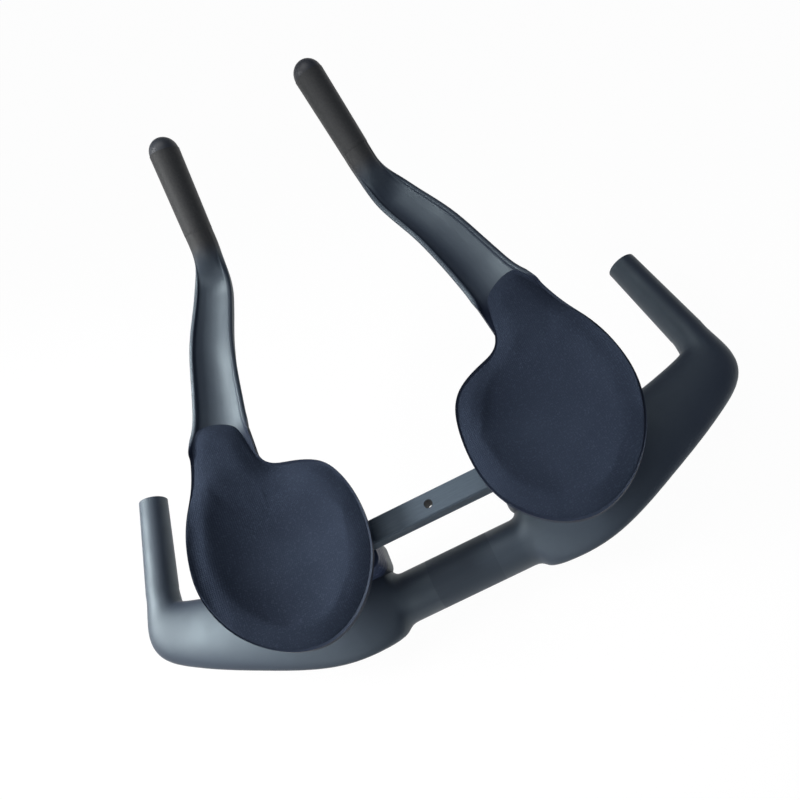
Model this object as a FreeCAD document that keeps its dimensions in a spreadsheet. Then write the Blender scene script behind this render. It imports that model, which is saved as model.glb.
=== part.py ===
import FreeCAD, Part
import math
import os

import Sketcher
from FreeCAD import Matrix, Placement, Rotation, Vector

# Millimetres, X to the rider's right, Y forward, Z up, origin in the middle of the stem clamp.
# Pieces that come in pairs are drawn on the right and mirrored to the left.
UP = Vector(0, 0, 1)
SIDE = Vector(1, 0, 0)

SIZES = {
    # base bar: round clamp, wings and lever grips
    "clamp_d": 31.8,
    "clamp_half": 37.0,
    "grip_spacing": 398.0,
    "grip_base_d": 22.4,
    "grip_tip_d": 20.4,
    "grip_start": 74.0,
    "grip_length": 70.0,
    "grip_height": 9.0,
    "grip_toe_in": 7.0,
    "lever_bore_d": 15.6,
    "lever_bore_depth": 50.0,
    # towers: a seat on the base bar and a stack of equal spacers
    "tower_x": 58.5,
    "tower_y": 28.0,
    "tower_width": 33.0,
    "tower_depth": 26.0,
    "tower_corner": 8.0,
    "seat_height": 18.0,
    "seat_depth": 14.0,
    "spacer_height": 5.0,
    "spacer_count": 4,
    "spacer_ease": 0.4,
    "tower_bolt_pitch": 17.0,
    # bridge between the arms
    "bridge_y": 33.0,
    "bridge_depth": 15.0,
    "bridge_height": 12.0,
    "bridge_length": 236.0,
    "bridge_chamfer": 0.8,
    "bridge_hole_d": 5.0,
    # arms: rim, foot on the bridge and rising grip
    "rim_half_edge": 1.5,
    "trim_flare": 8.0,
    "foot_width": 38.0,
    "foot_depth": 24.0,
    "foot_reach": 20.0,
    "foot_sink": 1.5,
    "neck_x": 58.6,
    "neck_y": 232.0,
    "neck_rise": 68.4,
    "neck_d": 18.2,
    "neck_straight": 16.0,
    "neck_lap": 4.0,
    "neck_step": 0.15,
    "rise_angle": 37.4,
    "toe_in": 7.3,
    "rising_grip_length": 65.0,
    "rising_grip_d": 19.6,
    # end plugs
    "plug_bore_d": 14.0,
    "plug_bore_depth": 18.0,
    "plug_shank": 15.0,
    "plug_step": 0.3,
    # pads
    "pad_inset": 1.5,
    "pad_thick": 7.2,
    "pad_sink": 3.2,
    "pad_deepen": 0.9,
    "pad_nose_thick": 9.0,
    "pad_nose_sink": 2.0,
    "pad_nose_flatten": 1.5,
    "pad_lip": 1.0,
    "pad_crest": 9.5,
    "pad_bulge": 0.25,
    # fasteners
    "bolt_d": 5.0,
    "bolt_head_d": 8.5,
    "bolt_head_height": 5.0,
    "bolt_socket": 4.0,
    "bolt_socket_depth": 2.5,
    "thread_depth": 10.0,
    "arm_thread_depth": 7.0,
    "arm_bolt_share": 0.822,
    "arm_bolt_pitch": 14.0,
    "insert_d": 9.0,
    "washer_d": 10.0,
    "washer_height": 1.0,
    "clearance": 0.3,
}

# Oval sections of one wing, from the clamp outwards: place, heading from +X, chord and thickness.
WING_COLUMNS = ("x", "y", "z", "heading", "chord", "thick")
WING = {
    "shoulder": (46.5, 3.5, 3.0, 0, 44.0, 28.5),
    "root": (55.0, 8.5, 7.5, 0, 64.0, 22.5),
    "inner_wing": (66.0, 8.5, 10.5, 0, 67.0, 19.0),
    "mid_wing": (98.0, 10.0, 14.5, 0, 64.0, 18.0),
    "outer_wing": (132.0, 19.0, 16.5, 8, 54.5, 18.0),
    "sweep": (167.0, 32.0, 15.0, 25, 46.0, 18.0),
    "corner": (195.8, 48.5, 11.5, 50, 37.5, 20.0),
    "grip_root": (199.6, 61.5, 9.6, 80, 26.0, 21.6),
}

# Dished sections of the arm, from the heel forwards: lowest point of the top face (height above the
# bridge), heading inwards from +Y, pitch, roll, half width, dish radius and depth of the body below.
ARM_COLUMNS = ("x", "y", "z", "heading", "pitch", "roll", "half", "radius", "depth")
ARM = {
    "heel": (84.0, -32.0, 18.0, 0, 0, 10, 60.0, 85.0, 4.0),
    "elbow": (86.0, 40.0, 11.0, 0, 0, 10, 60.0, 85.0, 4.0),
    "ramp": (90.0, 78.0, 18.5, 0, 0, 10, 52.0, 75.0, 4.0),
    "waist": (101.0, 100.0, 28.0, 3, 4, 9, 31.0, 46.0, 5.0),
    "forearm_rear": (94.8, 127.0, 34.8, 14, 9, 7, 17.8, 36.0, 9.0),
    "forearm": (80.8, 176.0, 46.0, 20, 10, 6, 14.8, 30.0, 13.0),
    "kink": (66.2, 212.0, 54.0, 18, 16, 3, 12.8, 46.0, 13.5),
}

doc = FreeCAD.newDocument("time_trial_handlebar")
sheet = doc.addObject("Spreadsheet::Sheet", "sizes")


def fill_sheet():
    """Writes every size into the sheet, one named cell each."""
    cells = dict(SIZES)
    for columns, stations in ((WING_COLUMNS, WING), (ARM_COLUMNS, ARM)):
        for station, numbers in stations.items():
            cells.update({f"{station}_{column}": number for column, number in zip(columns, numbers)})
    for row, (alias, number) in enumerate(cells.items(), start=1):
        sheet.set(f"A{row}", alias)
        sheet.set(f"B{row}", str(number))
        sheet.setAlias(f"B{row}", alias)
    doc.recompute()


def size(alias):
    return float(sheet.get(alias))


def bind(item, **expressions):
    """Ties properties of a document object to the sheet."""
    for prop, expression in expressions.items():
        item.setExpression(prop, expression)
    return item


def make(kind, name, **properties):
    item = doc.addObject(kind, name)
    for prop, value in properties.items():
        setattr(item, prop, value)
    return item


def along(axis, origin):
    """Placement that turns the local Z axis to the given direction."""
    return Placement(origin, Rotation(UP, axis))


def cylinder(name, diameter, height, origin, axis=UP):
    item = make("Part::Cylinder", name, Placement=along(axis, origin))
    return bind(item, Radius=f"({diameter}) / 2", Height=height)


def fuse(name, *shapes):
    return make("Part::MultiFuse", name, Shapes=list(shapes), Refine=False)


def cut(name, base, tool):
    return make("Part::Cut", name, Base=base, Tool=tool, Refine=False)


def mirror(name, source):
    return make("Part::Mirroring", name, Source=source, Base=Vector(), Normal=SIDE)


def level(name):
    """Heights of the stack, worked out from the sizes of the pieces below."""
    seat = size("seat_height")
    tower = seat + size("spacer_count") * size("spacer_height")
    return {"seat": seat, "tower": tower, "bridge": tower + size("bridge_height")}[name]


def heading_vector(heading, pitch=0.0):
    """Direction turned inwards from +Y by the heading and raised by the pitch, in degrees."""
    h, p = math.radians(heading), math.radians(pitch)
    return Vector(-math.sin(h) * math.cos(p), math.cos(h) * math.cos(p), math.sin(p))


fill_sheet()
parts = {}
S = "sizes."


# Base bar

grip_axis = heading_vector(size("grip_toe_in"))
grip_root = Vector(size("grip_spacing") / 2, size("grip_start"), size("grip_height"))
grip_tip = grip_root + grip_axis * size("grip_length")


def oval(name, centre, heading, chord, thick):
    """Ellipse standing upright on a plane whose normal is turned from +X by the heading."""
    turn = math.radians(heading)
    across, normal = Vector(-math.sin(turn), math.cos(turn), 0), Vector(math.cos(turn), math.sin(turn), 0)
    stand = Matrix(across.x, UP.x, normal.x, centre.x, across.y, UP.y, normal.y, centre.y,
                   across.z, UP.z, normal.z, centre.z)
    item = make("Part::Ellipse", f"oval_{name}", Placement=Placement(stand))
    return bind(item, MajorRadius=f"({chord}) / 2", MinorRadius=f"({thick}) / 2")


def wing_sections():
    clamp_end = size("clamp_half")
    sections = [oval(f"clamp_{step}", SIDE * (clamp_end + step), 0, S + "clamp_d", S + "clamp_d")
                for step in (0, 2)]
    for station in WING:
        centre = Vector(*(size(f"{station}_{axis}") for axis in "xyz"))
        sections.append(oval(station, centre, size(f"{station}_heading"),
                             f"{S}{station}_chord", f"{S}{station}_thick"))
    turn = 90 + size("grip_toe_in")
    for step in (0, 3):
        sections.append(oval(f"grip_{step}", grip_root + grip_axis * step, turn,
                             S + "grip_base_d", S + "grip_base_d"))
    return sections


def rounded_plate(body, name, height):
    """Pads the tower outline with its two bolt holes on the body's XY plane."""
    half_w, half_d = size("tower_width") / 2, size("tower_depth") / 2
    r, lift = size("tower_corner"), size("bridge_y") - size("tower_y")
    sketch = body.newObject("Sketcher::SketchObject", name)
    plane = next(p for p in body.Origin.OriginFeatures if p.Role == "XY_Plane")
    sketch.AttachmentSupport = [(plane, "")]
    sketch.MapMode = "FlatFace"
    right, top = half_w - r, half_d - r
    corners = [(right, -top, -90), (right, top, 0), (-right, top, 90), (-right, -top, 180)]
    lines = [((-right, -half_d), (right, -half_d)), ((half_w, -top), (half_w, top)),
             ((right, half_d), (-right, half_d)), ((-half_w, top), (-half_w, -top))]
    for (start, end), (cx, cy, angle) in zip(lines, corners):
        sketch.addGeometry(Part.LineSegment(Vector(*start, 0), Vector(*end, 0)))
        circle = Part.Circle(Vector(cx, cy, 0), UP, r)
        sketch.addGeometry(Part.ArcOfCircle(circle, math.radians(angle), math.radians(angle + 90)))
    for edge in range(8):
        sketch.addConstraint(Sketcher.Constraint("Tangent", edge, 2, (edge + 1) % 8, 1))
    for edge, kind in ((4, "Horizontal"), (6, "Vertical")):
        sketch.addConstraint(Sketcher.Constraint(kind, edge))
    for edge in (3, 5, 7):
        sketch.addConstraint(Sketcher.Constraint("Equal", 1, edge))
    sketch.addConstraint(Sketcher.Constraint("Symmetric", 0, 1, 0, 2, -2))
    sketch.addConstraint(Sketcher.Constraint("Symmetric", 2, 1, 2, 2, -1))
    holes = [sketch.addGeometry(Part.Circle(Vector(side * size("tower_bolt_pitch") / 2, lift, 0), UP,
                                            size("bolt_d") / 2 + size("clearance"))) for side in (-1, 1)]
    sketch.addConstraint(Sketcher.Constraint("Equal", *holes))
    sketch.addConstraint(Sketcher.Constraint("Symmetric", holes[0], 3, holes[1], 3, -2))
    named = {
        "corner": (("Radius", 1, r), S + "tower_corner"),
        "width": (("DistanceX", 6, 1, 2, 1, 2 * half_w), S + "tower_width"),
        "depth": (("DistanceY", 0, 1, 4, 2, 2 * half_d), S + "tower_depth"),
        "hole": (("Radius", holes[0], size("bolt_d") / 2 + size("clearance")),
                 f"{S}bolt_d / 2 + {S}clearance"),
        "pitch": (("DistanceX", holes[0], 3, holes[1], 3, size("tower_bolt_pitch")), S + "tower_bolt_pitch"),
        "lift": (("DistanceY", -1, 1, holes[0], 3, lift), f"{S}bridge_y - {S}tower_y"),
    }
    for label, (constraint, expression) in named.items():
        index = sketch.addConstraint(Sketcher.Constraint(*constraint))
        sketch.renameConstraint(index, label)
        sketch.setExpression(f"Constraints.{label}", expression)
    pad = body.newObject("PartDesign::Pad", f"{name}_pad")
    pad.Profile = sketch
    pad.setExpression("Length", height)
    return pad


def build_base_bar():
    wing = make("Part::Loft", "wing", Sections=wing_sections(), Solid=True, Ruled=False, MaxDegree=3)
    grip = make("Part::Cone", "lever_grip", Placement=along(grip_axis, grip_root + grip_axis * 3))
    bind(grip, Radius1=S + "grip_base_d / 2", Radius2=S + "grip_tip_d / 2", Height=f"{S}grip_length - 3")
    seat = make("PartDesign::Body", "tower_seat")
    rounded_plate(seat, "seat_outline", S + "seat_depth")
    seat.Placement.Base = Vector(size("tower_x"), size("tower_y"), level("seat") - size("seat_depth"))
    bore = cylinder("lever_bore", S + "lever_bore_d", S + "lever_bore_depth", grip_tip, -grip_axis)
    pockets = [cylinder(f"tower_pocket_{n}", S + "insert_d", S + "thread_depth",
                        Vector(x, size("bridge_y"), level("seat") - size("thread_depth")))
               for n, x in enumerate(tower_bolt_places())]
    gap, width, depth = size("clearance"), size("tower_width"), size("tower_depth")
    corner = Vector(size("tower_x") - width / 2 - gap, size("tower_y") - depth / 2 - gap, level("seat"))
    flat = make("Part::Box", "seat_flat", Placement=Placement(corner, Rotation()))
    bind(flat, Length=f"{S}tower_width + 2 * {S}clearance", Width=f"{S}tower_depth + 2 * {S}clearance",
         Height=S + "seat_height")
    half = cut("right_half", fuse("right_blank", wing, grip, seat), fuse("right_holes", bore, flat, *pockets))
    clamp = cylinder("clamp", S + "clamp_d", f"2 * {S}clamp_half", SIDE * -size("clamp_half"), SIDE)
    parts["base_bar"] = fuse("base_bar", clamp, half, mirror("left_half", half))


def ease_outline(body, plate):
    """Breaks the sharp edges of a plate's outline, so that stacked plates show a fine joint line."""
    doc.recompute()
    outline = [f"Edge{n}" for n, edge in enumerate(plate.Shape.Edges, start=1)
               if edge.BoundBox.ZLength < size("clearance") and not edge.isClosed()]
    ease = body.newObject("PartDesign::Chamfer", f"{plate.Name}_eased")
    ease.Base = (plate, outline)
    ease.setExpression("Size", S + "spacer_ease")


def tower_bolt_places():
    return [size("tower_x") + side * size("tower_bolt_pitch") / 2 for side in (-1, 1)]


def build_towers():
    names = ("lowest", "lower", "upper", "top")
    for n in range(int(size("spacer_count"))):
        spacer = make("PartDesign::Body", f"right_{names[n]}_spacer")
        ease_outline(spacer, rounded_plate(spacer, f"spacer_outline_{n}", S + "spacer_height"))
        spacer.Placement.Base = Vector(size("tower_x"), size("tower_y"),
                                       level("seat") + n * size("spacer_height"))
        parts[f"right_{names[n]}_spacer"] = spacer
        parts[f"left_{names[n]}_spacer"] = mirror(f"left_{names[n]}_spacer", spacer)


# Bridge

def arm_bolt_places():
    return [arm_bolt_middle() + side * size("arm_bolt_pitch") / 2 for side in (-1, 1)]


def arm_bolt_middle():
    return size("bridge_length") / 2 * size("arm_bolt_share")


def build_bridge():
    corner = Vector(-size("bridge_length") / 2, size("bridge_y") - size("bridge_depth") / 2, level("tower"))
    bar = make("Part::Box", "bridge_bar", Placement=Placement(corner, Rotation()))
    bind(bar, Length=S + "bridge_length", Width=S + "bridge_depth", Height=S + "bridge_height")
    doc.recompute()
    eased = make("Part::Chamfer", "bridge_eased", Base=bar)
    ease = size("bridge_chamfer")
    eased.Edges = [(n, ease, ease) for n in range(1, len(bar.Shape.Edges) + 1)]
    y, top, bottom = size("bridge_y"), level("bridge"), level("tower")
    tools = [cylinder("bridge_hole", S + "bridge_hole_d", S + "bridge_height", Vector(0, y, bottom))]
    through = f"{S}bolt_d + 2 * {S}clearance"
    for n, x in enumerate(tower_bolt_places() + arm_bolt_places()):
        for side in (-1, 1):
            tools.append(cylinder(f"bridge_bolt_hole_{n}_{side + 1}", through, S + "bridge_height",
                                  Vector(side * x, y, bottom)))
    recess = size("bolt_head_height") + size("clearance")
    for n, x in enumerate(tower_bolt_places()):
        for side in (-1, 1):
            tools.append(cylinder(f"head_recess_{n}_{side + 1}", f"{S}bolt_head_d + 2 * {S}clearance",
                                  f"{S}bolt_head_height + {S}clearance", Vector(side * x, y, top - recess)))
    parts["bridge"] = cut("bridge", eased, fuse("bridge_holes", *tools))


# Arms, pads and plugs

def section_frame(centre, heading, pitch, roll):
    """Returns a function that places (across, up) in the plane of a section."""
    forward = heading_vector(heading, pitch)
    across = Vector(math.cos(math.radians(heading)), math.sin(math.radians(heading)), 0)
    up = across.cross(forward)
    tilt = math.radians(roll)
    across, up = across * math.cos(tilt) + up * math.sin(tilt), up * math.cos(tilt) - across * math.sin(tilt)
    return lambda a, b: centre + across * a + up * b


def dished(station, lift, depth, flatten=1.0):
    """Section of a dished body: a list of place, angles, half width, corner, half edge, top and bottom."""
    x, y, z, heading, pitch, roll, half, radius = (size(f"{station}_{c}") for c in ARM_COLUMNS[:8])
    radius *= flatten
    dish = radius - math.sqrt(radius ** 2 - half ** 2)
    edge = (lift + depth) / 2 if lift else size("rim_half_edge")
    middle = dish + lift - edge if lift else dish
    at = section_frame(Vector(x, y, z + level("bridge")), heading, pitch, roll)
    return [*at(0, middle), heading, pitch, roll, half, half - min(edge, size("rim_half_edge")), edge,
            lift - middle, -middle - depth]


# Steps along the top or underside of a section, and round one of its side edges.
ACROSS = 12
ROUND_EDGE = 3


def round_section(centre, heading, pitch, diameter):
    """Circle with the same columns as a dished section and evenly spread steps."""
    r = diameter / 2
    turn = math.radians(90 * ROUND_EDGE / (ACROSS + ROUND_EDGE))
    return [*centre, heading, pitch, 0.0, r, r * math.cos(turn), r * math.sin(turn), r, -r]


def ring(section):
    """Points once round a section: from the left edge over the top, right edge and underside, and back."""
    at = section_frame(Vector(*section[:3]), *section[3:6])
    half, corner, edge, top, bottom = section[6:]
    a, b, c, d = at(-corner, edge), at(corner, edge), at(corner, -edge), at(-corner, -edge)
    arcs = [(Part.Arc(d, at(-half, 0), a), ROUND_EDGE), (Part.Arc(a, at(0, top), b), ACROSS),
            (Part.Arc(b, at(half, 0), c), ROUND_EDGE), (Part.Arc(c, at(0, bottom), d), ACROSS)]
    return [arc.value(arc.FirstParameter + (arc.LastParameter - arc.FirstParameter) * k / count)
            for arc, count in arcs for k in range(count)] + [d]


def even_slopes(steps, values):
    """Slopes at the stations that keep a curve between neighbours free of overshoot."""
    rise = [(b - a) / step for a, b, step in zip(values, values[1:], steps)]
    slopes = [rise[0]]
    for (s0, s1), (r0, r1) in zip(zip(steps, steps[1:]), zip(rise, rise[1:])):
        w0, w1 = 2 * s1 + s0, s1 + 2 * s0
        slopes.append((w0 + w1) / (w0 / r0 + w1 / r1) if r0 * r1 > 0 else 0.0)
    return slopes + [rise[-1]]


def skin(sections, between=4):
    """Solid through the sections, with in-between sections blended smoothly."""
    steps = [math.dist(a[:3], b[:3]) for a, b in zip(sections, sections[1:])]
    columns = list(zip(*sections))
    slopes = [even_slopes(steps, column) for column in columns]
    rings = []
    for n, step in enumerate(steps):
        for t in (k / between for k in range(between)):
            h00, h10 = 2 * t ** 3 - 3 * t ** 2 + 1, t ** 3 - 2 * t ** 2 + t
            h01, h11 = 3 * t ** 2 - 2 * t ** 3, t ** 3 - t ** 2
            rings.append(ring([h00 * c[n] + h10 * step * m[n] + h01 * c[n + 1] + h11 * step * m[n + 1]
                               for c, m in zip(columns, slopes)]))
    rings.append(ring(sections[-1]))
    return closed_skin(rings)


def closed_skin(rings):
    """Solid with a smooth side through rings of points and a flat face over the first and last ring."""
    surface = Part.BSplineSurface()
    surface.interpolate(rings)
    u0, u1, _, _ = surface.bounds()
    ends = [Part.Face(Part.Wire(surface.uIso(u).toShape())) for u in (u0, u1)]
    shell = Part.makeShell([surface.toShape(), *ends])
    shell.sewShape()
    solid = Part.Solid(Part.Shell(shell.Faces))
    if solid.Volume < 0:
        solid.reverse()
    return solid


# Plan view of the cup rim from the front corner round the heel to the notch, then the edge ahead of it.
RIM = [(113.2, 128), (118.3, 111), (128, 82.5), (135, 44), (121.5, 0), (80, -20), (42, 7), (34.5, 45),
       (46, 78), (66, 88), (77, 93), (81, 100)]
EDGE_AHEAD = [(81, 100), (79.5, 111), (77.4, 122)]
PAD_FRONT = [(81, 100), (82.5, 110), (88, 119), (97, 125.5), (105, 127.5), (111, 125), (115, 119.5)]
PAD_OUTLINE = RIM[1:-1] + PAD_FRONT
PAD_SPINE = [(86, 10), (90, 60), (97, 104)]
PAD_STEPS = 60
FLANK = (0, 0.2, 0.4, 0.6, 0.8, 1.12)


def curve(points):
    spline = Part.BSplineCurve()
    spline.interpolate([Vector(x, y, 0) for x, y in points])
    return spline.toShape()


def path(points):
    return Part.makePolygon([Vector(x, y, 0) for x, y in points]).Edges


def prism(name, wire):
    item = make("Part::Feature", name)
    item.Shape = Part.Face(wire).extrude(UP * size("grip_spacing") / 2)
    return item


def build_arm():
    rise = level("bridge")
    axis = heading_vector(size("toe_in"), size("rise_angle"))
    neck = Vector(size("neck_x"), size("neck_y"), size("neck_rise") + rise)
    tip = neck + axis * size("rising_grip_length")
    angles = size("toe_in"), size("rise_angle")
    straight = neck + axis * size("neck_straight")
    shell = make("Part::Feature", "arm_shell")
    shell.Shape = skin([dished(station, 0.0, size(f"{station}_depth")) for station in ARM]
                       + [round_section(place, *angles, size("neck_d")) for place in (neck, straight)])
    (left, front), (right, corner) = EDGE_AHEAD[-1], RIM[0]
    flare, far, rear = size("trim_flare"), size("grip_spacing") / 2, size("heel_y") * 2
    outside = [(left, front), (left - 1.5 * flare, front + flare), (0, front + flare), (0, rear), (far, rear),
               (far, corner + flare), (right + flare, corner + flare), (right, corner)]
    trim = prism("arm_trim", Part.Wire([curve(RIM), curve(EDGE_AHEAD), *path(outside)]))
    grip = make("Part::Cone", "rising_grip", Placement=along(axis, straight - axis * size("neck_lap")))
    bind(grip, Radius1=f"{S}neck_d / 2 + {S}neck_step", Radius2=S + "rising_grip_d / 2",
         Height=f"{S}rising_grip_length - {S}neck_straight + {S}neck_lap")
    core = make("Part::Feature", "foot_core")
    core.Shape = skin([dished(station, -size("foot_sink"), size("foot_reach"))
                       for station in ("heel", "elbow", "ramp")])
    side, rear = arm_bolt_middle() - size("foot_width") / 2, size("bridge_y") - size("foot_depth") / 2
    block = make("Part::Box", "foot_block", Placement=Placement(Vector(side, rear, rise), Rotation()))
    bind(block, Length=S + "foot_width", Width=S + "foot_depth", Height=S + "foot_reach * 2")
    foot = make("Part::Common", "foot", Base=block, Tool=core, Refine=False)
    bore = cylinder("plug_bore", S + "plug_bore_d", S + "plug_bore_depth", tip, -axis)
    pockets = [cylinder(f"arm_pocket_{n}", S + "insert_d", S + "arm_thread_depth",
                        Vector(x, size("bridge_y"), rise)) for n, x in enumerate(arm_bolt_places())]
    body = fuse("arm_body", cut("arm_trimmed", shell, trim), grip, foot)
    parts["right_arm"] = cut("right_arm", body, fuse("arm_holes", bore, *pockets))
    parts["left_arm"] = mirror("left_arm", parts["right_arm"])
    return tip, axis


def leaning_edge(points, top):
    """Solid whose low side stands on the outline and then leans inwards to a crest in the top face."""
    outline = Part.BSplineCurve()
    outline.interpolate(Points=[Vector(x, y, 0) for x, y in points], PeriodicFlag=True)
    first, last = outline.FirstParameter, outline.LastParameter
    spread = [first + (last - first) * n / PAD_STEPS for n in range(PAD_STEPS)]
    spine = Part.makePolygon([Vector(x, y, 0) for x, y in PAD_SPINE])
    feet = []
    for at in spread:
        foot, square = outline.value(at), outline.tangent(at)[0].cross(UP)
        middle = Part.Vertex(foot).distToShape(spine)[1][0][1]
        feet.append((foot, (square + (middle - foot).normalize()).normalize()))
    lack, crest, bulge = size("pad_nose_thick") - size("pad_lip"), size("pad_crest"), size("pad_bulge")

    def top_height(spot):
        return max(hit.Z for hit in Part.Line(spot, spot + UP).intersectCS(top)[0])

    a, b, c = (foot + UP * top_height(foot) for foot, _ in feet[::PAD_STEPS // 3][:3])
    lean = (b - a).cross(c - a)

    def loop(share, rise=0.0, flat=False):
        """Closed curve, inset by a share of the crest's inset; flat ones lie in one leaning plane."""
        ends = []
        for foot, inwards in feet:
            spot = foot + inwards * (size("pad_inset") + crest * share)
            if flat:
                base = a.z - ((spot.x - a.x) * lean.x + (spot.y - a.y) * lean.y) / lean.z
            else:
                base = top_height(spot) - lack * (1 - share * (1 + bulge - bulge * share))
            ends.append(spot + UP * (base + rise))
        spline = Part.BSplineCurve()
        spline.interpolate(Points=ends, PeriodicFlag=True)
        return Part.Wire(spline.toShape())

    flank = [loop(share) for share in FLANK]
    return Part.makeLoft([loop(0, -3 * lack, flat=True), *flank, loop(FLANK[-1], lack, flat=True)], True, True)


def build_pad():
    blank = make("Part::Feature", "pad_blank")
    cup, nose = list(ARM)[:3], list(ARM)[3:6]
    cup_sizes = size("pad_thick"), size("pad_sink"), size("pad_deepen")
    nose_sizes = size("pad_nose_thick"), size("pad_nose_sink"), size("pad_nose_flatten")
    blank.Shape = skin([dished(station, *cup_sizes) for station in cup]
                       + [dished(station, *nose_sizes) for station in nose])
    top = max(blank.Shape.Faces, key=lambda face: face.Area).Surface
    edge = make("Part::Feature", "pad_edge")
    edge.Shape = leaning_edge(PAD_OUTLINE, top)
    rolled = make("Part::Common", "pad_rolled", Base=blank, Tool=edge, Refine=False)
    parts["right_pad"] = cut("right_pad", rolled, parts["right_arm"])
    parts["left_pad"] = mirror("left_pad", parts["right_pad"])


def build_plug(tip, axis):
    """Domed cap with a shank, revolved about the local Z axis."""
    dome = make("Part::Sphere", "plug_dome", Placement=along(axis, tip), Angle1=0, Angle2=90)
    bind(dome, Radius=f"{S}rising_grip_d / 2 - {S}plug_step")
    shank = cylinder("plug_shank", f"{S}plug_bore_d - 2 * {S}clearance", S + "plug_shank", tip, -axis)
    parts["right_end_plug"] = fuse("right_end_plug", dome, shank)
    parts["left_end_plug"] = mirror("left_end_plug", parts["right_end_plug"])


# Fasteners

def bolt(name, seat, axis, length):
    """Cap screw with its head on the seat, its shank running against the axis, and a six-sided socket."""
    head = cylinder(f"{name}_head", S + "bolt_head_d", S + "bolt_head_height", seat, axis)
    shank = cylinder(f"{name}_shank", S + "bolt_d", length, seat, -axis)
    socket = make("Part::Prism", f"{name}_socket", Polygon=6, Placement=along(
        axis, seat + axis * (size("bolt_head_height") - size("bolt_socket_depth"))))
    bind(socket, Circumradius=S + "bolt_socket / 2 / cos(30)", Height=S + "bolt_socket_depth")
    return cut(name, fuse(f"{name}_blank", head, shank), socket)


def bush(name, place, outer, inner, height):
    """Ring standing upright on the place."""
    disc = cylinder(f"{name}_disc", outer, height, place)
    return cut(name, disc, cylinder(f"{name}_hole", inner, height, place))


def build_fasteners():
    y, sides = size("bridge_y"), (-1, 1)
    recess = size("bolt_head_height") + size("clearance")
    tower_seat = level("bridge") - recess
    tower_length = (f"{S}bridge_height - {S}bolt_head_height - {S}clearance + {S}spacer_count * "
                    f"{S}spacer_height + {S}thread_depth - 2 * {S}clearance")
    tower = [bolt(f"tower_bolt_{n}_{side + 1}", Vector(side * x, y, tower_seat), UP, tower_length)
             for n, x in enumerate(tower_bolt_places()) for side in sides]
    under = level("tower") - size("washer_height")
    arm_length = f"{S}washer_height + {S}bridge_height + {S}arm_thread_depth - {S}clearance"
    arm = [bolt(f"arm_bolt_{n}_{side + 1}", Vector(side * x, y, under), -UP, arm_length)
           for n, x in enumerate(arm_bolt_places()) for side in sides]
    washers, tower_inserts, arm_inserts = [], [], []
    seat = level("seat") - size("thread_depth")
    through, tapped = f"{S}bolt_d + 2 * {S}clearance", f"{S}bolt_d + {S}clearance"
    for side in sides:
        for n, x in enumerate(arm_bolt_places()):
            tag = f"{n}_{side + 1}"
            washers.append(bush(f"washer_{tag}", Vector(side * x, y, under),
                                S + "washer_d", through, S + "washer_height"))
            arm_inserts.append(bush(f"arm_insert_{tag}", Vector(side * x, y, level("bridge")),
                                    S + "insert_d", tapped, S + "arm_thread_depth"))
        for n, x in enumerate(tower_bolt_places()):
            tower_inserts.append(bush(f"tower_insert_{n}_{side + 1}", Vector(side * x, y, seat),
                                      S + "insert_d", tapped, S + "thread_depth"))
    groups = {"tower_bolts": tower, "arm_bolts": arm, "arm_washers": washers,
              "tower_inserts": tower_inserts, "arm_inserts": arm_inserts}
    for label, group in groups.items():
        parts[label] = make("Part::Compound", label, Links=group)


def write_parts():
    """Recomputes, checks every piece and writes one file per piece."""
    doc.recompute()
    bad = [item.Name for item in doc.Objects if {"Invalid", "Error"} & set(item.State)]
    for label, item in parts.items():
        item.Label = label
        if item.Shape.isNull() or not item.Shape.isValid():
            bad.append(label)
    if bad:
        raise RuntimeError(f"broken features: {bad}")
    os.makedirs("parts", exist_ok=True)
    for label, item in parts.items():
        item.Shape.exportStep(f"parts/{label}.step")


build_base_bar()
build_towers()
build_bridge()
plug_place = build_arm()
build_pad()
build_plug(*plug_place)
build_fasteners()
write_parts()
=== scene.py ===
"""Looks of the time trial handlebar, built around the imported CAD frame."""

import logging
import math
from abc import ABC, abstractmethod
from dataclasses import dataclass
from enum import Enum
from typing import Any, Sequence

import bpy
import numpy as np
from mathutils import Matrix, Vector
from mathutils.bvhtree import BVHTree


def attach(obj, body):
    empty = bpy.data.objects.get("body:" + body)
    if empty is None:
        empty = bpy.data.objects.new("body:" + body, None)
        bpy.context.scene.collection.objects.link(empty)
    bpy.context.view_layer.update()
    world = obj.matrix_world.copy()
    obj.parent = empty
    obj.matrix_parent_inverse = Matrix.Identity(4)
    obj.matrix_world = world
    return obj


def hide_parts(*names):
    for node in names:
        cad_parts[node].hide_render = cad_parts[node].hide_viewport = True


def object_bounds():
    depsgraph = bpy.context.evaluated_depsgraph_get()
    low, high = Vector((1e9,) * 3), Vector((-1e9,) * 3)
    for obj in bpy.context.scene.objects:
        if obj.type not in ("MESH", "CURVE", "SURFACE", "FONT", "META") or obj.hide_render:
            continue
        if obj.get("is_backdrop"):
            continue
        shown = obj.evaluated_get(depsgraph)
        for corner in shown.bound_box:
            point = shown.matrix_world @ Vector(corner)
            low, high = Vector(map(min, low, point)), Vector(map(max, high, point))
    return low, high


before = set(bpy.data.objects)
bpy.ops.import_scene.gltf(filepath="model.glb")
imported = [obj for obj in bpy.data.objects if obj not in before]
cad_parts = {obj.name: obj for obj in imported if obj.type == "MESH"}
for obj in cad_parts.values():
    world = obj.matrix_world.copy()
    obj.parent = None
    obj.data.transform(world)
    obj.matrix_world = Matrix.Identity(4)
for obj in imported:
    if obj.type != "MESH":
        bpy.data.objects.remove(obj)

Colour = tuple[float, float, float]
Point = tuple[float, float, float]
Span = tuple[float, float]
Socket = bpy.types.NodeSocket

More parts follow.
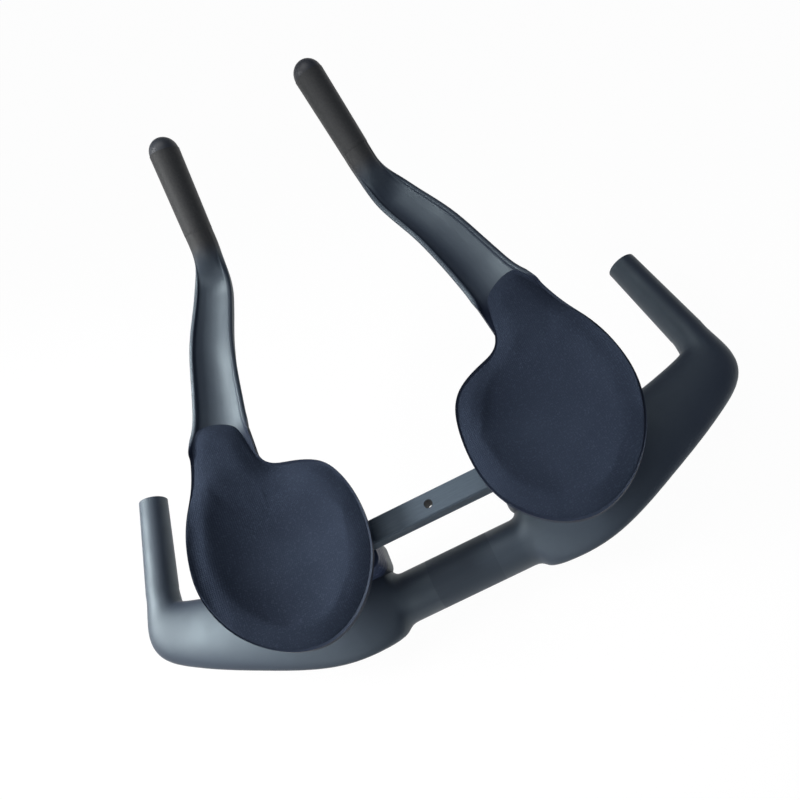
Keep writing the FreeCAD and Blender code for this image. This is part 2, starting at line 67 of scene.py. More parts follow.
LOG = logging.getLogger("time_trial_handlebar")
MM = 0.001
TINY = 1e-9
SMOOTH_ANGLE = math.radians(32)
WAVE_RATE = 20  # radians that a wave texture runs per metre at a scale of 1
UNIT: Span = (0.0, 1.0)
COMMON: Span = (0.3, 0.7)  # range in which most values of a noise lie
WHITE: Colour = (1.0, 1.0, 1.0)
X_AXIS: Point = (1.0, 0.0, 0.0)
Y_AXIS: Point = (0.0, 1.0, 0.0)
ORIGIN: Point = (0.0, 0.0, 0.0)


class Side(Enum):
    """The two mirrored halves of the handlebar, with the sign of their X places."""

    LEFT = -1
    RIGHT = 1

    def node(self, piece: str) -> str:
        """Name of this side's CAD node of a piece."""
        return f"{self.name.lower()}_{piece}"

    def place(self, x: float, y: float, z: float) -> Vector:
        """Point given for the right side in millimetres, on this side in metres."""
        return Vector((self.value * x, y, z)) * MM


class Grain(Enum):
    """Direction in which the fibres or brush marks of a finish run."""

    ALONG_BAR = (0.06, 1.0, 1.0)
    ALONG_ARM = (1.0, 0.06, 1.0)
    NONE = (1.0, 1.0, 1.0)


class MixKind(Enum):
    """Data types of a mix node, with the numbers of its sockets: factor, both ends and result."""

    RGBA = (0, 6, 7, 2)
    FLOAT = (0, 2, 3, 0)


def smooth_step(value: float, ends: Span) -> float:
    """Eased share of the way from one end to the other.

    Args:
        value: Value to place between the ends.
        ends: Values at which the share is 0 and 1.

    Returns:
        The share, from 0 to 1.
    """
    part = min(max((value - ends[0]) / (ends[1] - ends[0]), 0.0), 1.0)
    return part * part * (3 - 2 * part)


def heading(step: int, count: int) -> Vector:
    """Direction in plan of one of a number of equal steps round a circle."""
    angle = 2 * math.pi * step / count
    return Vector((math.cos(angle), math.sin(angle)))


class ShaderBench:
    """One material under construction, with short calls for the nodes the finishes share."""

    def __init__(self, name: str) -> None:
        """Starts an empty material that holds a principled shader.

        Args:
            name: Name of the material.
        """
        self.material = bpy.data.materials.new(name)
        self.material.use_nodes = True
        self.tree = self.material.node_tree
        self.tree.nodes.clear()
        self.shader = self.tree.nodes.new("ShaderNodeBsdfPrincipled")
        self.output = self.tree.nodes.new("ShaderNodeOutputMaterial")
        self.tree.links.new(self.shader.outputs["BSDF"], self.output.inputs["Surface"])
        self.place: Socket = self.tree.nodes.new("ShaderNodeTexCoord").outputs["Object"]

    def node(self, kind: str, inputs: dict[Any, Any] | None = None, **settings: Any) -> bpy.types.Node:
        """Adds a node.

        Args:
            kind: Blender's name of the node type.
            inputs: Sockets or plain values by input name or number.
            **settings: Properties of the node itself.

        Returns:
            The new node.
        """
        item = self.tree.nodes.new(kind)
        for key, value in settings.items():
            setattr(item, key, value)
        for key, value in (inputs or {}).items():
            self.feed(item.inputs[key], value)
        return item

    def feed(self, target: Socket, value: Any) -> None:
        """Links a socket to an input, or sets the input to a plain value.

        Args:
            target: The input.
            value: A socket or a plain value.
        """
        if isinstance(value, Socket):
            self.tree.links.new(value, target)
        else:
            target.default_value = value

    def set(self, **values: Any) -> None:
        """Sets or links inputs of the shader; underscores in a name stand for spaces."""
        for key, value in values.items():
            self.feed(self.shader.inputs[key.replace("_", " ")], value)

    def source(self, name: str) -> Socket:
        """Socket that feeds an input of the shader so far."""
        return self.shader.inputs[name].links[0].from_socket

    def noise(self, scale: float, detail: float = 3.0, grain: Grain = Grain.NONE) -> Socket:
        """Noise in object space.

        Args:
            scale: Cells per metre.
            detail: Octaves of finer noise.
            grain: Direction along which the cells are drawn out.

        Returns:
            A value from 0 to 1.
        """
        place = self.place
        if grain is not Grain.NONE:
            mapping = self.node("ShaderNodeMapping", {"Vector": place, "Scale": grain.value})
            place = mapping.outputs["Vector"]
        texture = self.node("ShaderNodeTexNoise", {"Vector": place, "Scale": scale, "Detail": detail})
        return texture.outputs["Fac"]

    def remap(self, value: Socket, source: Span, target: Span) -> Socket:
        """Maps one range of values smoothly to another and clamps it.

        Args:
            value: Value to map.
            source: Range of the value.
            target: Range of the result.

        Returns:
            The mapped value.
        """
        inputs = {"Value": value, "From Min": source[0], "From Max": source[1],
                  "To Min": target[0], "To Max": target[1]}
        return self.node("ShaderNodeMapRange", inputs, interpolation_type="SMOOTHSTEP").outputs["Result"]

    def mix(self, factor: Socket, low: Any, high: Any, kind: MixKind = MixKind.RGBA) -> Socket:
        """Blends two colours or two numbers.

        Args:
            factor: Share of the high end.
            low: Socket or plain value at a factor of 0.
            high: Socket or plain value at a factor of 1.
            kind: What is blended.

        Returns:
            The blend.
        """
        share, first, second, result = kind.value
        ends = [(*value, 1.0) if isinstance(value, tuple) else value for value in (low, high)]
        inputs = {share: factor, first: ends[0], second: ends[1]}
        return self.node("ShaderNodeMix", inputs, data_type=kind.name).outputs[result]

    def calc(self, operation: str, first: Any, second: Any = 0.0) -> Socket:
        """Result of a math node."""
        return self.node("ShaderNodeMath", {0: first, 1: second}, operation=operation).outputs[0]

    def axis_place(self, axis: Sequence[float], origin: Sequence[float]) -> Socket:
        """Distance of the shaded point from an origin, measured along an axis.

        Args:
            axis: Direction of the axis, of length 1.
            origin: Point at which the distance is 0.

        Returns:
            The distance in metres.
        """
        shift = self.node("ShaderNodeVectorMath", {0: self.place, 1: origin}, operation="SUBTRACT")
        dot = self.node("ShaderNodeVectorMath", {0: shift.outputs[0], 1: axis}, operation="DOT_PRODUCT")
        return dot.outputs["Value"]

    def bump(self, height: Socket, distance: float, strength: float) -> None:
        """Bumps the shader's normal.

        Args:
            height: Height from 0 to 1.
            distance: Height of the bumps in metres.
            strength: Share of the bump that is used.
        """
        inputs = {"Height": height, "Distance": distance, "Strength": strength}
        self.set(Normal=self.node("ShaderNodeBump", inputs).outputs["Normal"])


class Finish(ABC):
    """A finish that pieces can be given."""

    @abstractmethod
    def bench(self) -> ShaderBench:
        """Builds the shader.

        Returns:
            The bench, so that a piece can add its own zones.
        """

    def material(self) -> bpy.types.Material:
        """The finished material, for a piece without zones of its own."""
        return self.bench().material


@dataclass(frozen=True)
class SatinCarbon(Finish):
    """Molded carbon under a satin lacquer: cloudy lay-up, faint fibres, orange peel and a painted
    highlight along sharp edges.
    """

    name: str
    colour: Colour = (0.0155, 0.0205, 0.0370)
    pale: Colour = (0.0215, 0.0280, 0.0470)
    # painted highlight: lighter colour laid along sharp edges
    edge_highlight: Colour = (0.055, 0.065, 0.078)
    roughness: Span = (0.54, 0.63)
    refraction: float = 1.6
    gloss: float = 0.62
    glint: Colour = (0.74, 0.93, 0.98)
    lacquer: float = 0.22
    lacquer_roughness: float = 0.54
    lacquer_refraction: float = 1.5
    grain: Grain = Grain.ALONG_BAR
    cloud_scale: float = 14.0
    cloud_band: Span = (0.35, 0.70)
    cloud_share: Span = (0.0, 0.7)
    fibre_scale: float = 900.0
    fibre_band: Span = (0.52, 0.70)
    fibre_share: Span = (0.0, 0.35)
    edge_band: Span = (0.54, 0.66)
    edge_share: Span = (0.0, 0.10)
    # noise that breaks up the painted edge highlight
    highlight_break_scale: float = 160.0
    highlight_break_band: Span = (0.35, 0.65)
    highlight_break_share: Span = (0.2, 1.0)
    satin_scale: float = 55.0
    peel_scale: float = 1100.0
    peel_height: float = 0.04 * MM
    peel_strength: float = 0.35

    def bench(self) -> ShaderBench:
        """Builds the shader.

        Returns:
            The bench, so that a piece can add its own zones.
        """
        bench = ShaderBench(self.name)
        cloud = bench.noise(self.cloud_scale, detail=4.0)
        fibre = bench.noise(self.fibre_scale, detail=2.0, grain=self.grain)
        body = bench.mix(bench.remap(cloud, self.cloud_band, self.cloud_share), self.colour, self.pale)
        body = bench.mix(bench.remap(fibre, self.fibre_band, self.fibre_share), body, self.pale)
        # painted highlight along sharp edges, found by pointiness and broken up by noise
        edge = bench.node("ShaderNodeNewGeometry").outputs["Pointiness"]
        painted_edge_highlight = bench.calc("MULTIPLY", bench.remap(edge, self.edge_band, self.edge_share),
                          bench.remap(bench.noise(self.highlight_break_scale), self.highlight_break_band, self.highlight_break_share))
        bench.set(Base_Color=bench.mix(painted_edge_highlight, body, self.edge_highlight))
        bench.set(IOR=self.refraction, Specular_IOR_Level=self.gloss, Specular_Tint=(*self.glint, 1.0))
        bench.set(Coat_Weight=self.lacquer, Coat_Roughness=self.lacquer_roughness)
        bench.set(Coat_IOR=self.lacquer_refraction)
        satin = bench.noise(self.satin_scale, detail=5.0)
        bench.set(Roughness=bench.remap(satin, COMMON, self.roughness))
        bench.bump(bench.noise(self.peel_scale, detail=1.0), self.peel_height, self.peel_strength)
        return bench


@dataclass(frozen=True)
class AnodisedMetal(Finish):
    """Grey anodised aluminium with fine marks along the bar, and painted shade in the bore."""

    name: str
    colour: Colour = (0.062, 0.084, 0.108)
    pale: Colour = (0.080, 0.104, 0.130)
    roughness: Span = (0.50, 0.60)
    metallic: float = 0.1
    gloss: float = 0.2
    satin_scale: float = 70.0
    mark_scale: float = 1600.0
    mark_band: Span = (0.35, 0.7)
    mark_share: Span = (0.0, 0.6)
    mark_height: float = 0.03 * MM
    mark_strength: float = 0.2
    # painted shade: near-black colour round the through hole, standing for the shade inside it
    bore_middle: Point = (0.0, 33 * MM, 0.0)
    bore_edge: Span = (2.6 * MM, 2.9 * MM)
    bore_painted_shade: Colour = (0.010, 0.012, 0.016)

    def bench(self) -> ShaderBench:
        """Builds the shader.

        Returns:
            The bench, so that a piece can add its own zones.
        """
        bench = ShaderBench(self.name)
        marks = bench.noise(self.mark_scale, detail=2.0, grain=Grain.ALONG_BAR)
        grey = bench.mix(bench.remap(marks, self.mark_band, self.mark_share), self.colour, self.pale)
        apart = [bench.axis_place(axis, self.bore_middle) for axis in (X_AXIS, Y_AXIS)]
        squares = bench.calc("ADD", *(bench.calc("POWER", part, 2.0) for part in apart))
        outside = bench.remap(bench.calc("SQRT", squares), self.bore_edge, UNIT)
        # painted shade inside the bore, grey metal outside it
        bench.set(Base_Color=bench.mix(outside, self.bore_painted_shade, grey))
        bench.set(Roughness=bench.remap(bench.noise(self.satin_scale), COMMON, self.roughness))
        bench.set(Metallic=self.metallic, Specular_IOR_Level=self.gloss)
        bench.bump(marks, self.mark_height, self.mark_strength)
        return bench


@dataclass(frozen=True)
class MoldedPlastic(Finish):
    """Dense molded plastic with a fine tool texture."""

    name: str
    colour: Colour = (0.034, 0.048, 0.092)
    pale: Colour = (0.048, 0.065, 0.118)
    roughness: Span = (0.46, 0.56)
    gloss: float = 0.25
    cloud_scale: float = 45.0
    satin_scale: float = 120.0
    grain_scale: float = 2400.0
    grain_height: float = 0.04 * MM
    grain_strength: float = 0.4

    def bench(self) -> ShaderBench:
        """Builds the shader.

        Returns:
            The bench, so that a piece can add its own zones.
        """
        bench = ShaderBench(self.name)
        cloud = bench.noise(self.cloud_scale, detail=4.0)
        bench.set(Base_Color=bench.mix(bench.remap(cloud, COMMON, UNIT), self.colour, self.pale))
        bench.set(Roughness=bench.remap(bench.noise(self.satin_scale), COMMON, self.roughness))
        bench.set(Specular_IOR_Level=self.gloss)
        bench.bump(bench.noise(self.grain_scale, detail=1.0), self.grain_height, self.grain_strength)
        return bench


@dataclass(frozen=True)
class PlainSteel(Finish):
    """Turned steel or aluminium of the hidden fasteners."""

    name: str
    colour: Colour = (0.36, 0.36, 0.38)
    dull: Colour = (0.20, 0.20, 0.21)
    roughness: Span = (0.26, 0.42)
    spot_scale: float = 300.0
    spot_band: Span = (0.3, 0.75)
    grain_scale: float = 2600.0
    grain_height: float = 0.02 * MM
    grain_strength: float = 0.4

    def bench(self) -> ShaderBench:
        """Builds the shader.

        Returns:
            The bench, so that a piece can add its own zones.
        """
        bench = ShaderBench(self.name)
        spots = bench.noise(self.spot_scale, detail=4.0)
        bench.set(Base_Color=bench.mix(bench.remap(spots, self.spot_band, UNIT), self.colour, self.dull))
        bench.set(Roughness=bench.remap(spots, COMMON, self.roughness), Metallic=1.0)
        bench.bump(bench.noise(self.grain_scale, detail=1.0), self.grain_height, self.grain_strength)
        return bench


@dataclass(frozen=True)
class PadFabric(Finish):
    """Fine plain weave over foam: crossing threads, lint, soft sheen and uneven dye."""

    name: str
    colour: Colour = (0.0160, 0.0220, 0.0365)
    pale: Colour = (0.0315, 0.0425, 0.0655)
    roughness: float = 0.9
    gloss: float = 0.08
    sheen: float = 0.03
    sheen_roughness: float = 0.45
    sheen_tint: Colour = (0.55, 0.68, 0.9)
    thread_pitch: float = 1.1 * MM
    thread_wobble: float = 1.2
    wobble_scale: float = 0.3
    weave_share: float = 0.22
    weave_height: float = 0.25 * MM
    weave_strength: float = 0.35
    dye_scale: float = 24.0
    dye_share: Span = (0.0, 0.35)
    lint_scale: float = 950.0
    lint_band: Span = (0.50, 0.72)
    lint_share: Span = (0.0, 0.55)

    def thread(self, bench: ShaderBench, direction: str) -> Socket:
        """One set of threads.

        Args:
            bench: Material under construction.
            direction: Axis across which the threads repeat, X or Y.

        Returns:
            Height from 0 in the gaps to 1 on the threads.
        """
        inputs = {"Vector": bench.place, "Scale": 2 * math.pi / WAVE_RATE / self.thread_pitch,
                  "Distortion": self.thread_wobble, "Detail": 1.0, "Detail Scale": self.wobble_scale}
        return bench.node("ShaderNodeTexWave", inputs, bands_direction=direction).outputs["Fac"]

    def bench(self) -> ShaderBench:
        """Builds the shader.

        Returns:
            The bench, so that a piece can add its own zones.
        """
        bench = ShaderBench(self.name)
        warp, weft = self.thread(bench, "X"), self.thread(bench, "Y")
        weave = bench.calc("MULTIPLY", bench.calc("ADD", warp, weft), 0.5)
        dye = bench.remap(bench.noise(self.dye_scale, detail=5.0), COMMON, self.dye_share)
        lint = bench.remap(bench.noise(self.lint_scale, detail=2.0), self.lint_band, self.lint_share)
        threads = bench.calc("MULTIPLY", weave, self.weave_share)
        shade = bench.calc("ADD", threads, bench.calc("ADD", dye, lint))
        bench.set(Base_Color=bench.mix(shade, self.colour, self.pale))
        bench.set(Roughness=self.roughness, Specular_IOR_Level=self.gloss)
        bench.set(Sheen_Weight=self.sheen, Sheen_Roughness=self.sheen_roughness)
        bench.set(Sheen_Tint=(*self.sheen_tint, 1.0))
        bench.bump(weave, self.weave_height, self.weave_strength)
        return bench


def dress(name: str, material: bpy.types.Material) -> None:
    """Gives a CAD node its material and smooth shading that keeps its edges.

    Args:
        name: CAD node.
        material: Finished material.
    """
    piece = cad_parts[name]
    piece.data.materials.clear()
    piece.data.materials.append(material)
    for polygon in piece.data.polygons:
        polygon.use_smooth = True
    split = piece.modifiers.new("crisp_edges", "EDGE_SPLIT")
    split.split_angle = SMOOTH_ANGLE
    LOG.info("dressed %s with %s", name, material.name)


@dataclass
class BaseBar:
    """The molded base bar, with a gritty zone where the stem clamps it."""

    grit_half: float = 21 * MM
    grit_fade: float = 1.5 * MM
    grit_scale: float = 3200.0
    grit_roughness: float = 0.72
    grit_height: float = 0.12 * MM
    grit_strength: float = 0.5
    peel_share: float = 0.25

    def dress(self) -> None:
        """Dresses the bar and roughens the clamp zone."""
        finish = SatinCarbon("bar_satin_carbon")
        bench = finish.bench()
        across = bench.calc("ABSOLUTE", bench.axis_place(X_AXIS, ORIGIN))
        zone = bench.remap(across, (self.grit_half, self.grit_half + self.grit_fade), UNIT[::-1])
        grit = bench.calc("MULTIPLY", bench.noise(self.grit_scale, detail=1.0), zone)
        rough = bench.calc("MULTIPLY", zone, self.grit_roughness)
        bench.set(Roughness=bench.calc("MAXIMUM", bench.source("Roughness"), rough))
        peel = bench.calc("MULTIPLY", bench.noise(finish.peel_scale, detail=1.0), self.peel_share)
        bench.bump(bench.calc("ADD", peel, grit), self.grit_height, self.grit_strength)
        dress("base_bar", bench.material)


@dataclass
class ForearmArm:
    """One molded arm: a dished forearm in satin carbon that turns into a matte rising grip."""

    side: Side
    neck: Point = (58.6, 232.0, 118.4)  # for the right side, in millimetres
    toe_in: float = math.radians(7.3)
    rise: float = math.radians(37.4)
    fade: Span = (-10 * MM, 6 * MM)
    matte: Colour = (0.034, 0.035, 0.036)
    matte_pale: Colour = (0.045, 0.046, 0.046)
    matte_roughness: float = 0.56
    matte_gloss: float = 0.32
    speck_scale: float = 900.0
    speck_band: Span = (0.35, 0.7)
    speck_share: Span = (0.0, 0.8)
    cup_front: float = 122 * MM
    cup_fade: Span = (-10 * MM, 4 * MM)
    cup_gloss: float = 0.15
    plug_colour: Colour = (0.016, 0.018, 0.024)
    plug_pale: Colour = (0.027, 0.033, 0.045)
    plug_roughness: Span = (0.50, 0.57)
    plug_gloss: float = 0.7

    def grip_axis(self) -> Vector:
        """Direction of the rising grip, away from the elbow."""
        level = math.cos(self.rise)
        return Vector((-self.side.value * math.sin(self.toe_in) * level, math.cos(self.toe_in) * level,
                       math.sin(self.rise)))

    def dress(self) -> None:
        """Dresses the arm, with its matte grip and dull cup, and the plug in its end."""
        finish = SatinCarbon(self.side.node("arm_carbon"), grain=Grain.ALONG_ARM)
        bench = finish.bench()
        ahead = bench.axis_place(self.grip_axis(), self.side.place(*self.neck))
        grip = bench.remap(ahead, self.fade, UNIT)
        speck = bench.remap(bench.noise(self.speck_scale, detail=4.0), self.speck_band, self.speck_share)
        matte = bench.mix(speck, self.matte, self.matte_pale)
        bench.set(Base_Color=bench.mix(grip, bench.source("Base Color"), matte))
        satin = bench.source("Roughness")
        bench.set(Roughness=bench.mix(grip, satin, self.matte_roughness, MixKind.FLOAT))
        bench.set(Specular_Tint=bench.mix(grip, finish.glint, WHITE))
        front = bench.axis_place(Y_AXIS, (0.0, self.cup_front, 0.0))
        shine = bench.remap(front, self.cup_fade, (self.cup_gloss, 1.0))
        gloss = bench.remap(grip, UNIT, (finish.gloss, self.matte_gloss))
        lacquer = bench.remap(grip, UNIT, (finish.lacquer, 0.0))
        bench.set(Specular_IOR_Level=bench.calc("MULTIPLY", shine, gloss))
        bench.set(Coat_Weight=bench.calc("MULTIPLY", shine, lacquer))
        dress(self.side.node("arm"), bench.material)
        plug = MoldedPlastic(self.side.node("plug_plastic"), self.plug_colour, self.plug_pale,
                             self.plug_roughness, self.plug_gloss)
        dress(self.side.node("end_plug"), plug.material())


@dataclass
class ElbowPad:
    """One elbow pad: a woven cover swollen over foam, on a net taken from its CAD solid."""

    side: Side
    fabric: bpy.types.Material
    centre: Point = (90.0, 55.0, 0.0)  # for the right side, in millimetres
    spokes: int = 150
    rings: int = 30
    ring_power: float = 1.35
    reach: float = 90 * MM
    edge_step: float = 0.02 * MM
    ray_height: float = 0.3
    overhang: float = 0.7 * MM
    overhang_power: int = 8
    nose_rows: Span = (95 * MM, 118 * MM)
    nose_columns: Span = (112 * MM, 86 * MM)
    nose_reach: Span = (2.5 * MM, 3.0 * MM)
    disc: float = 3 * MM
    disc_share: float = 0.6
    disc_rings: tuple[tuple[float, int], ...] = ((0.5, 6), (1.0, 12))
    edge_passes: int = 2
    pressure: float = 3.0
    frames: int = 12
    swell_cap: float = 0.8 * MM
    fill: float = 0.75

    def __post_init__(self) -> None:
        """Readies the CAD solids for plumb-line measuring."""
        graph = bpy.context.evaluated_depsgraph_get()
        self.solid = BVHTree.FromObject(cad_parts[self.side.node("pad")], graph)
        self.arm = BVHTree.FromObject(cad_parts[self.side.node("arm")], graph)
        self.middle = self.side.place(*self.centre).to_2d()

    def plumb(self, spot: Vector, upwards: bool = False, piece: BVHTree | None = None) -> float | None:
        """Height of a CAD piece at a spot.

        Args:
            spot: Place in plan.
            upwards: Measures the underside instead of the top.
            piece: The piece; the pad if none is given.

        Returns:
            The height in metres, or None beside the piece.
        """
        start = -self.ray_height if upwards else self.ray_height
        course = Vector((0.0, 0.0, 1.0 if upwards else -1.0))
        hit = (piece or self.solid).ray_cast(Vector((*spot, start)), course)[0]
        return None if hit is None else hit.z

    def soft_height(self, spot: Vector, radius: float) -> float:
        """Mean height of the pad's top over a small disc, so that the cover has no facets.

        Args:
            spot: Middle of the disc in plan.
            radius: Radius of the disc in metres.

        Returns:
            The height in metres.
        """
        found = [self.plumb(spot)]
        for share, count in self.disc_rings:
            for turn in range(count):
                found.append(self.plumb(spot + heading(turn, count) * radius * share))
        known = [height for height in found if height is not None]
        return sum(known) / len(known)

    def nose_shift(self, spot: Vector) -> Vector:
        """How far the cover reaches past the plain solid: forwards and inwards at the nose.

        Args:
            spot: Place in plan on the solid.

        Returns:
            The shift in plan.
        """
        ahead = smooth_step(spot.y, self.nose_rows)
        inner = smooth_step(abs(spot.x), self.nose_columns)
        inwards, forwards = self.nose_reach
        return Vector((-self.side.value * inwards * ahead * inner, forwards * ahead))

    def edge_distance(self, direction: Vector) -> float:
        """Distance in plan from the pad's middle to its edge, found by halving.

        Args:
            direction: Direction in plan, of length 1.

        Returns:
            The distance in metres.
        """
        inside, outside = 0.0, self.reach
        while outside - inside > self.edge_step:
            halfway = (inside + outside) / 2
            if self.plumb(self.middle + direction * halfway) is None:
                outside = halfway
            else:
                inside = halfway
        return inside

    def net(self) -> tuple[np.ndarray, np.ndarray]:
        """Measures the pad on a net of spokes and rings.

        Returns:
            Places on the top and on the underside, by ring from the edge inwards and by spoke.
        """
        shares = np.linspace(0.0, 1.0, self.rings + 1)[:-1] ** self.ring_power
        top = np.zeros((self.rings, self.spokes, 3))
        under = np.zeros_like(top)
        for spoke in range(self.spokes):
            direction = heading(spoke, self.spokes)
            edge = self.edge_distance(direction)
            for ring, share in enumerate(shares):
                spot = self.middle + direction * edge * (1 - share)
                lip = direction * self.overhang * (1 - share) ** self.overhang_power
                moved = spot + self.nose_shift(spot) + lip
                seats = [self.plumb(place, piece=self.arm) for place in (spot, moved)]
                lift = 0.0 if None in seats else seats[1] - seats[0]
                high = self.soft_height(spot, min(self.disc, self.disc_share * edge * share))
                low = self.plumb(spot, upwards=True)
                top[ring, spoke] = *moved, high + lift
                under[ring, spoke] = *moved, (high if low is None else low) + lift
        return top, under

    def relax(self, net: np.ndarray) -> np.ndarray:
        """Eases the net a little along its rings.

        Args:
            net: Places by ring and spoke.

        Returns:
            The eased places.
        """
        for _ in range(self.edge_passes):
            net = 0.5 * net + 0.25 * (np.roll(net, 1, axis=1) + np.roll(net, -1, axis=1))
        return net

    def build(self) -> None:
        """Makes the soft pad, which stands for its CAD node."""
        top, under = (self.relax(net) for net in self.net())
        middles = [net[-1].mean(axis=0) for net in (top, under)]
        places = np.concatenate([top.reshape(-1, 3), under.reshape(-1, 3), np.array(middles)])
        mesh = bpy.data.meshes.new(self.side.node("soft_pad"))
        mesh.from_pydata(places.tolist(), [], self.faces())
        mesh.update()
        pad = bpy.data.objects.new(self.side.node("soft_pad"), mesh)
        bpy.context.collection.objects.link(pad)
        self.swell(pad)
        pad.modifiers.new("even_cover", "SUBSURF").render_levels = 1
        mesh.materials.append(self.fabric)
        for polygon in mesh.polygons:
            polygon.use_smooth = True
        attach(pad, "root")
        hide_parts(self.side.node("pad"))
        LOG.info("built %s with %d faces", pad.name, len(mesh.polygons))

    def faces(self) -> list[tuple[int, ...]]:
        """Faces of the closed net: top, underside, the low side between them and the two middles.

        Returns:
            The numbers of each face's corners.
        """
        count, half = self.spokes, self.rings * self.spokes
        last = half - count
        found: list[tuple[int, ...]] = []
        for spoke in range(count):
            after = (spoke + 1) % count
            for ring in range(self.rings - 1):
                a, b = ring * count + spoke, ring * count + after
                found.append((a, b, b + count, a + count))
                found.append((half + b, half + a, half + a + count, half + b + count))
            found.append((last + spoke, last + after, 2 * half))
            found.append((half + last + after, half + last + spoke, 2 * half + 1))
            found.append((half + spoke, half + after, after, spoke))
        return found

    def swell(self, pad: bpy.types.Object) -> None:
        """Lets the cover swell under pressure, with its edge and underside held and its travel capped.

        Args:
            pad: The pad, as measured.
        """
        rest = self.places(pad)
        half = self.rings * self.spokes
        held = pad.vertex_groups.new(name="seated_side")
        held.add([*range(self.spokes), *range(half, 2 * half), 2 * half + 1], 1.0, "REPLACE")
        cloth = pad.modifiers.new("foam_cover", "CLOTH")
        cloth.settings.use_pressure = True
        cloth.settings.uniform_pressure_force = self.pressure
        cloth.settings.vertex_group_mass = held.name
        cloth.settings.effector_weights.gravity = 0.0
        for step in range(1, self.frames + 1):
            bpy.context.scene.frame_set(step)
        moved = self.places(pad.evaluated_get(bpy.context.evaluated_depsgraph_get())) - rest
        pad.modifiers.remove(cloth)
        bpy.context.scene.frame_set(1)
        length = np.linalg.norm(moved, axis=1, keepdims=True)
        moved *= np.minimum(1.0, self.swell_cap / np.maximum(length, TINY))
        pad.data.vertices.foreach_set("co", (rest + moved).ravel())
        pad.data.update()

    @staticmethod
    def places(piece: bpy.types.Object) -> np.ndarray:
        """Places of a mesh's vertices.

        Args:
            piece: A mesh object.

        Returns:
            One row for each vertex.
        """
        flat = np.empty(len(piece.data.vertices) * 3)
        piece.data.vertices.foreach_get("co", flat)
        return flat.reshape(-1, 3)


@dataclass
class Tower:
    """The bridge, and the spacers and fasteners that carry it on the base bar."""

    spacers: tuple[str, ...] = ("lowest_spacer", "lower_spacer", "upper_spacer", "top_spacer")
    steel: tuple[str, ...] = ("tower_bolts", "arm_bolts", "arm_washers")
    turned: tuple[str, ...] = ("tower_inserts", "arm_inserts")
    turned_colour: Colour = (0.50, 0.50, 0.52)
    turned_dull: Colour = (0.36, 0.36, 0.37)

    def dress(self) -> None:
        """Dresses the bridge, spacers, bolts, washers and inserts."""
        dress("bridge", AnodisedMetal("bridge_anodised").material())
        plastic = MoldedPlastic("spacer_plastic").material()
        for side in Side:
            for spacer in self.spacers:
                dress(side.node(spacer), plastic)
        bolts = PlainSteel("bolt_steel")
        inserts = PlainSteel("insert_metal", self.turned_colour, self.turned_dull)
        for names, finish in ((self.steel, bolts), (self.turned, inserts)):
            material = finish.material()
            for name in names:
                dress(name, material)


@dataclass(frozen=True)
class SoftLight:
    """A square soft light.

    Attributes:
        name: Name of the light.
        place: Where it hangs, in metres.
        aim: Point that it faces, in metres.
        width: Side of the square in metres.
        power: Power in watts.
        spread: Angle in degrees that its grid leaves open.
    """

    name: str
    place: Point
    aim: Point
    width: float
    power: float
    spread: float = 180.0

    def hang(self) -> None:
        """Adds the light to the set."""
        data = bpy.data.lights.new(self.name, "AREA")
        data.size = self.width
        data.energy = self.power
        data.spread = math.radians(self.spread)
        light = bpy.data.objects.new(self.name, data)
        light.location = self.place
        light.rotation_euler = (Vector(self.aim) - light.location).to_track_quat("-Z", "Y").to_euler()
        bpy.context.collection.objects.link(light)


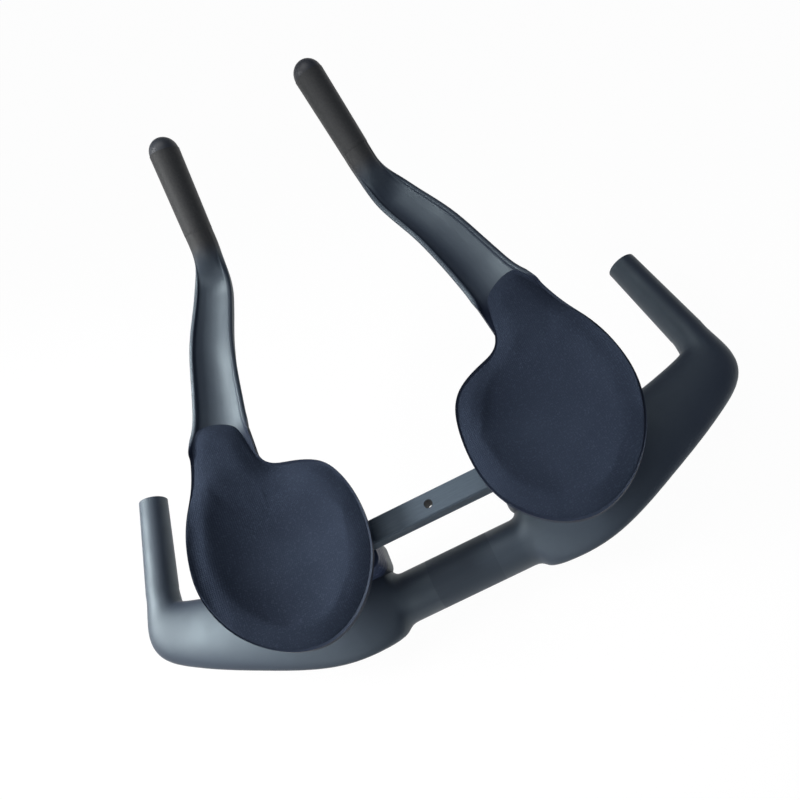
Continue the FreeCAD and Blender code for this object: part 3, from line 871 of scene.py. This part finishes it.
@dataclass
class Studio:
    """White table, three soft lights with the main one on the left, and the camera behind the bar."""

    camera_place: Point = (0.0391, -0.1103, 0.4468)
    camera_forward: Point = (-0.0628, 0.4754, -0.8775)
    camera_right: Point = (0.8915, -0.3686, -0.2635)
    camera_near: float = 10 * MM
    lens: float = 31.5
    floor_drop: float = 1 * MM
    floor_half: float = 12.0
    floor_white: float = 0.97
    floor_colour: Colour = (0.86, 0.86, 0.86)
    floor_roughness: float = 0.8
    room_colour: Colour = (0.62, 0.72, 0.95)
    room_strength: float = 0.12
    lights: tuple[SoftLight, ...] = (
        SoftLight("window_light", (-0.62, 0.24, 0.38), (-0.26, 0.06, 0.05), 0.5, 1.7, spread=45.0),
        SoftLight("top_light", (-0.10, 0.58, 1.20), (-0.05, 0.12, 0.05), 0.8, 4.5),
        SoftLight("back_fill", (-0.50, -0.80, 0.85), (-0.05, 0.15, 0.08), 0.9, 6.0),
    )

    def build(self) -> None:
        """Builds the whole set."""
        bpy.context.scene.view_settings.view_transform = "Standard"
        self.camera()
        self.floor()
        self.world()
        for light in self.lights:
            light.hang()

    def camera(self) -> None:
        """Places the camera as the picture was taken."""
        forward = Vector(self.camera_forward).normalized()
        right = Vector(self.camera_right)
        right = (right - forward * right.dot(forward)).normalized()
        turn = Matrix((right, right.cross(forward), -forward)).transposed().to_4x4()
        data = bpy.data.cameras.new("picture_camera")
        data.lens = self.lens
        data.clip_start = self.camera_near
        camera = bpy.data.objects.new("picture_camera", data)
        camera.matrix_world = Matrix.Translation(self.camera_place) @ turn
        bpy.context.collection.objects.link(camera)
        bpy.context.scene.camera = camera

    def floor(self) -> None:
        """Lays a white table under the bar that keeps its soft shadow."""
        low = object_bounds()[0][2] - self.floor_drop
        half = self.floor_half
        corners = [(-half, -half, low), (half, -half, low), (half, half, low), (-half, half, low)]
        mesh = bpy.data.meshes.new("white_table")
        mesh.from_pydata(corners, [], [(0, 1, 2, 3)])
        table = bpy.data.objects.new("white_table", mesh)
        bpy.context.collection.objects.link(table)
        bench = ShaderBench("table_white")
        bench.set(Base_Color=(*self.floor_colour, 1.0), Roughness=self.floor_roughness)
        path = bench.node("ShaderNodeLightPath").outputs
        seen = bench.calc("MAXIMUM", path["Is Camera Ray"], path["Is Glossy Ray"])
        seen = bench.calc("MAXIMUM", seen, path["Is Transmission Ray"])
        glow = bench.node("ShaderNodeEmission", {"Color": (*WHITE, 1.0), "Strength": 1.0})
        inputs = {0: bench.calc("MULTIPLY", seen, self.floor_white),
                  1: bench.shader.outputs["BSDF"], 2: glow.outputs["Emission"]}
        blend = bench.node("ShaderNodeMixShader", inputs)
        bench.feed(bench.output.inputs["Surface"], blend.outputs["Shader"])
        mesh.materials.append(bench.material)
        table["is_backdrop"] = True

    def world(self) -> None:
        """Dim room light, with white where the camera looks past the table."""
        world = bpy.data.worlds.new("room")
        world.use_nodes = True
        tree = world.node_tree
        tree.nodes.clear()
        room = tree.nodes.new("ShaderNodeBackground")
        room.inputs["Color"].default_value = (*self.room_colour, 1.0)
        room.inputs["Strength"].default_value = self.room_strength
        white = tree.nodes.new("ShaderNodeBackground")
        white.inputs["Color"].default_value = (*WHITE, 1.0)
        blend = tree.nodes.new("ShaderNodeMixShader")
        output = tree.nodes.new("ShaderNodeOutputWorld")
        path = tree.nodes.new("ShaderNodeLightPath")
        tree.links.new(path.outputs["Is Camera Ray"], blend.inputs[0])
        tree.links.new(room.outputs[0], blend.inputs[1])
        tree.links.new(white.outputs[0], blend.inputs[2])
        tree.links.new(blend.outputs[0], output.inputs[0])
        bpy.context.scene.world = world


def main() -> None:
    """Builds the handlebar's looks in order."""
    logging.basicConfig(level=logging.INFO, format="%(name)s: %(message)s")
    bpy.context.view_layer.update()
    BaseBar().dress()
    Tower().dress()
    fabric = PadFabric("pad_fabric").material()
    for side in Side:
        ForearmArm(side).dress()
        ElbowPad(side, fabric).build()
    Studio().build()


if __name__ == "__main__":
    main()
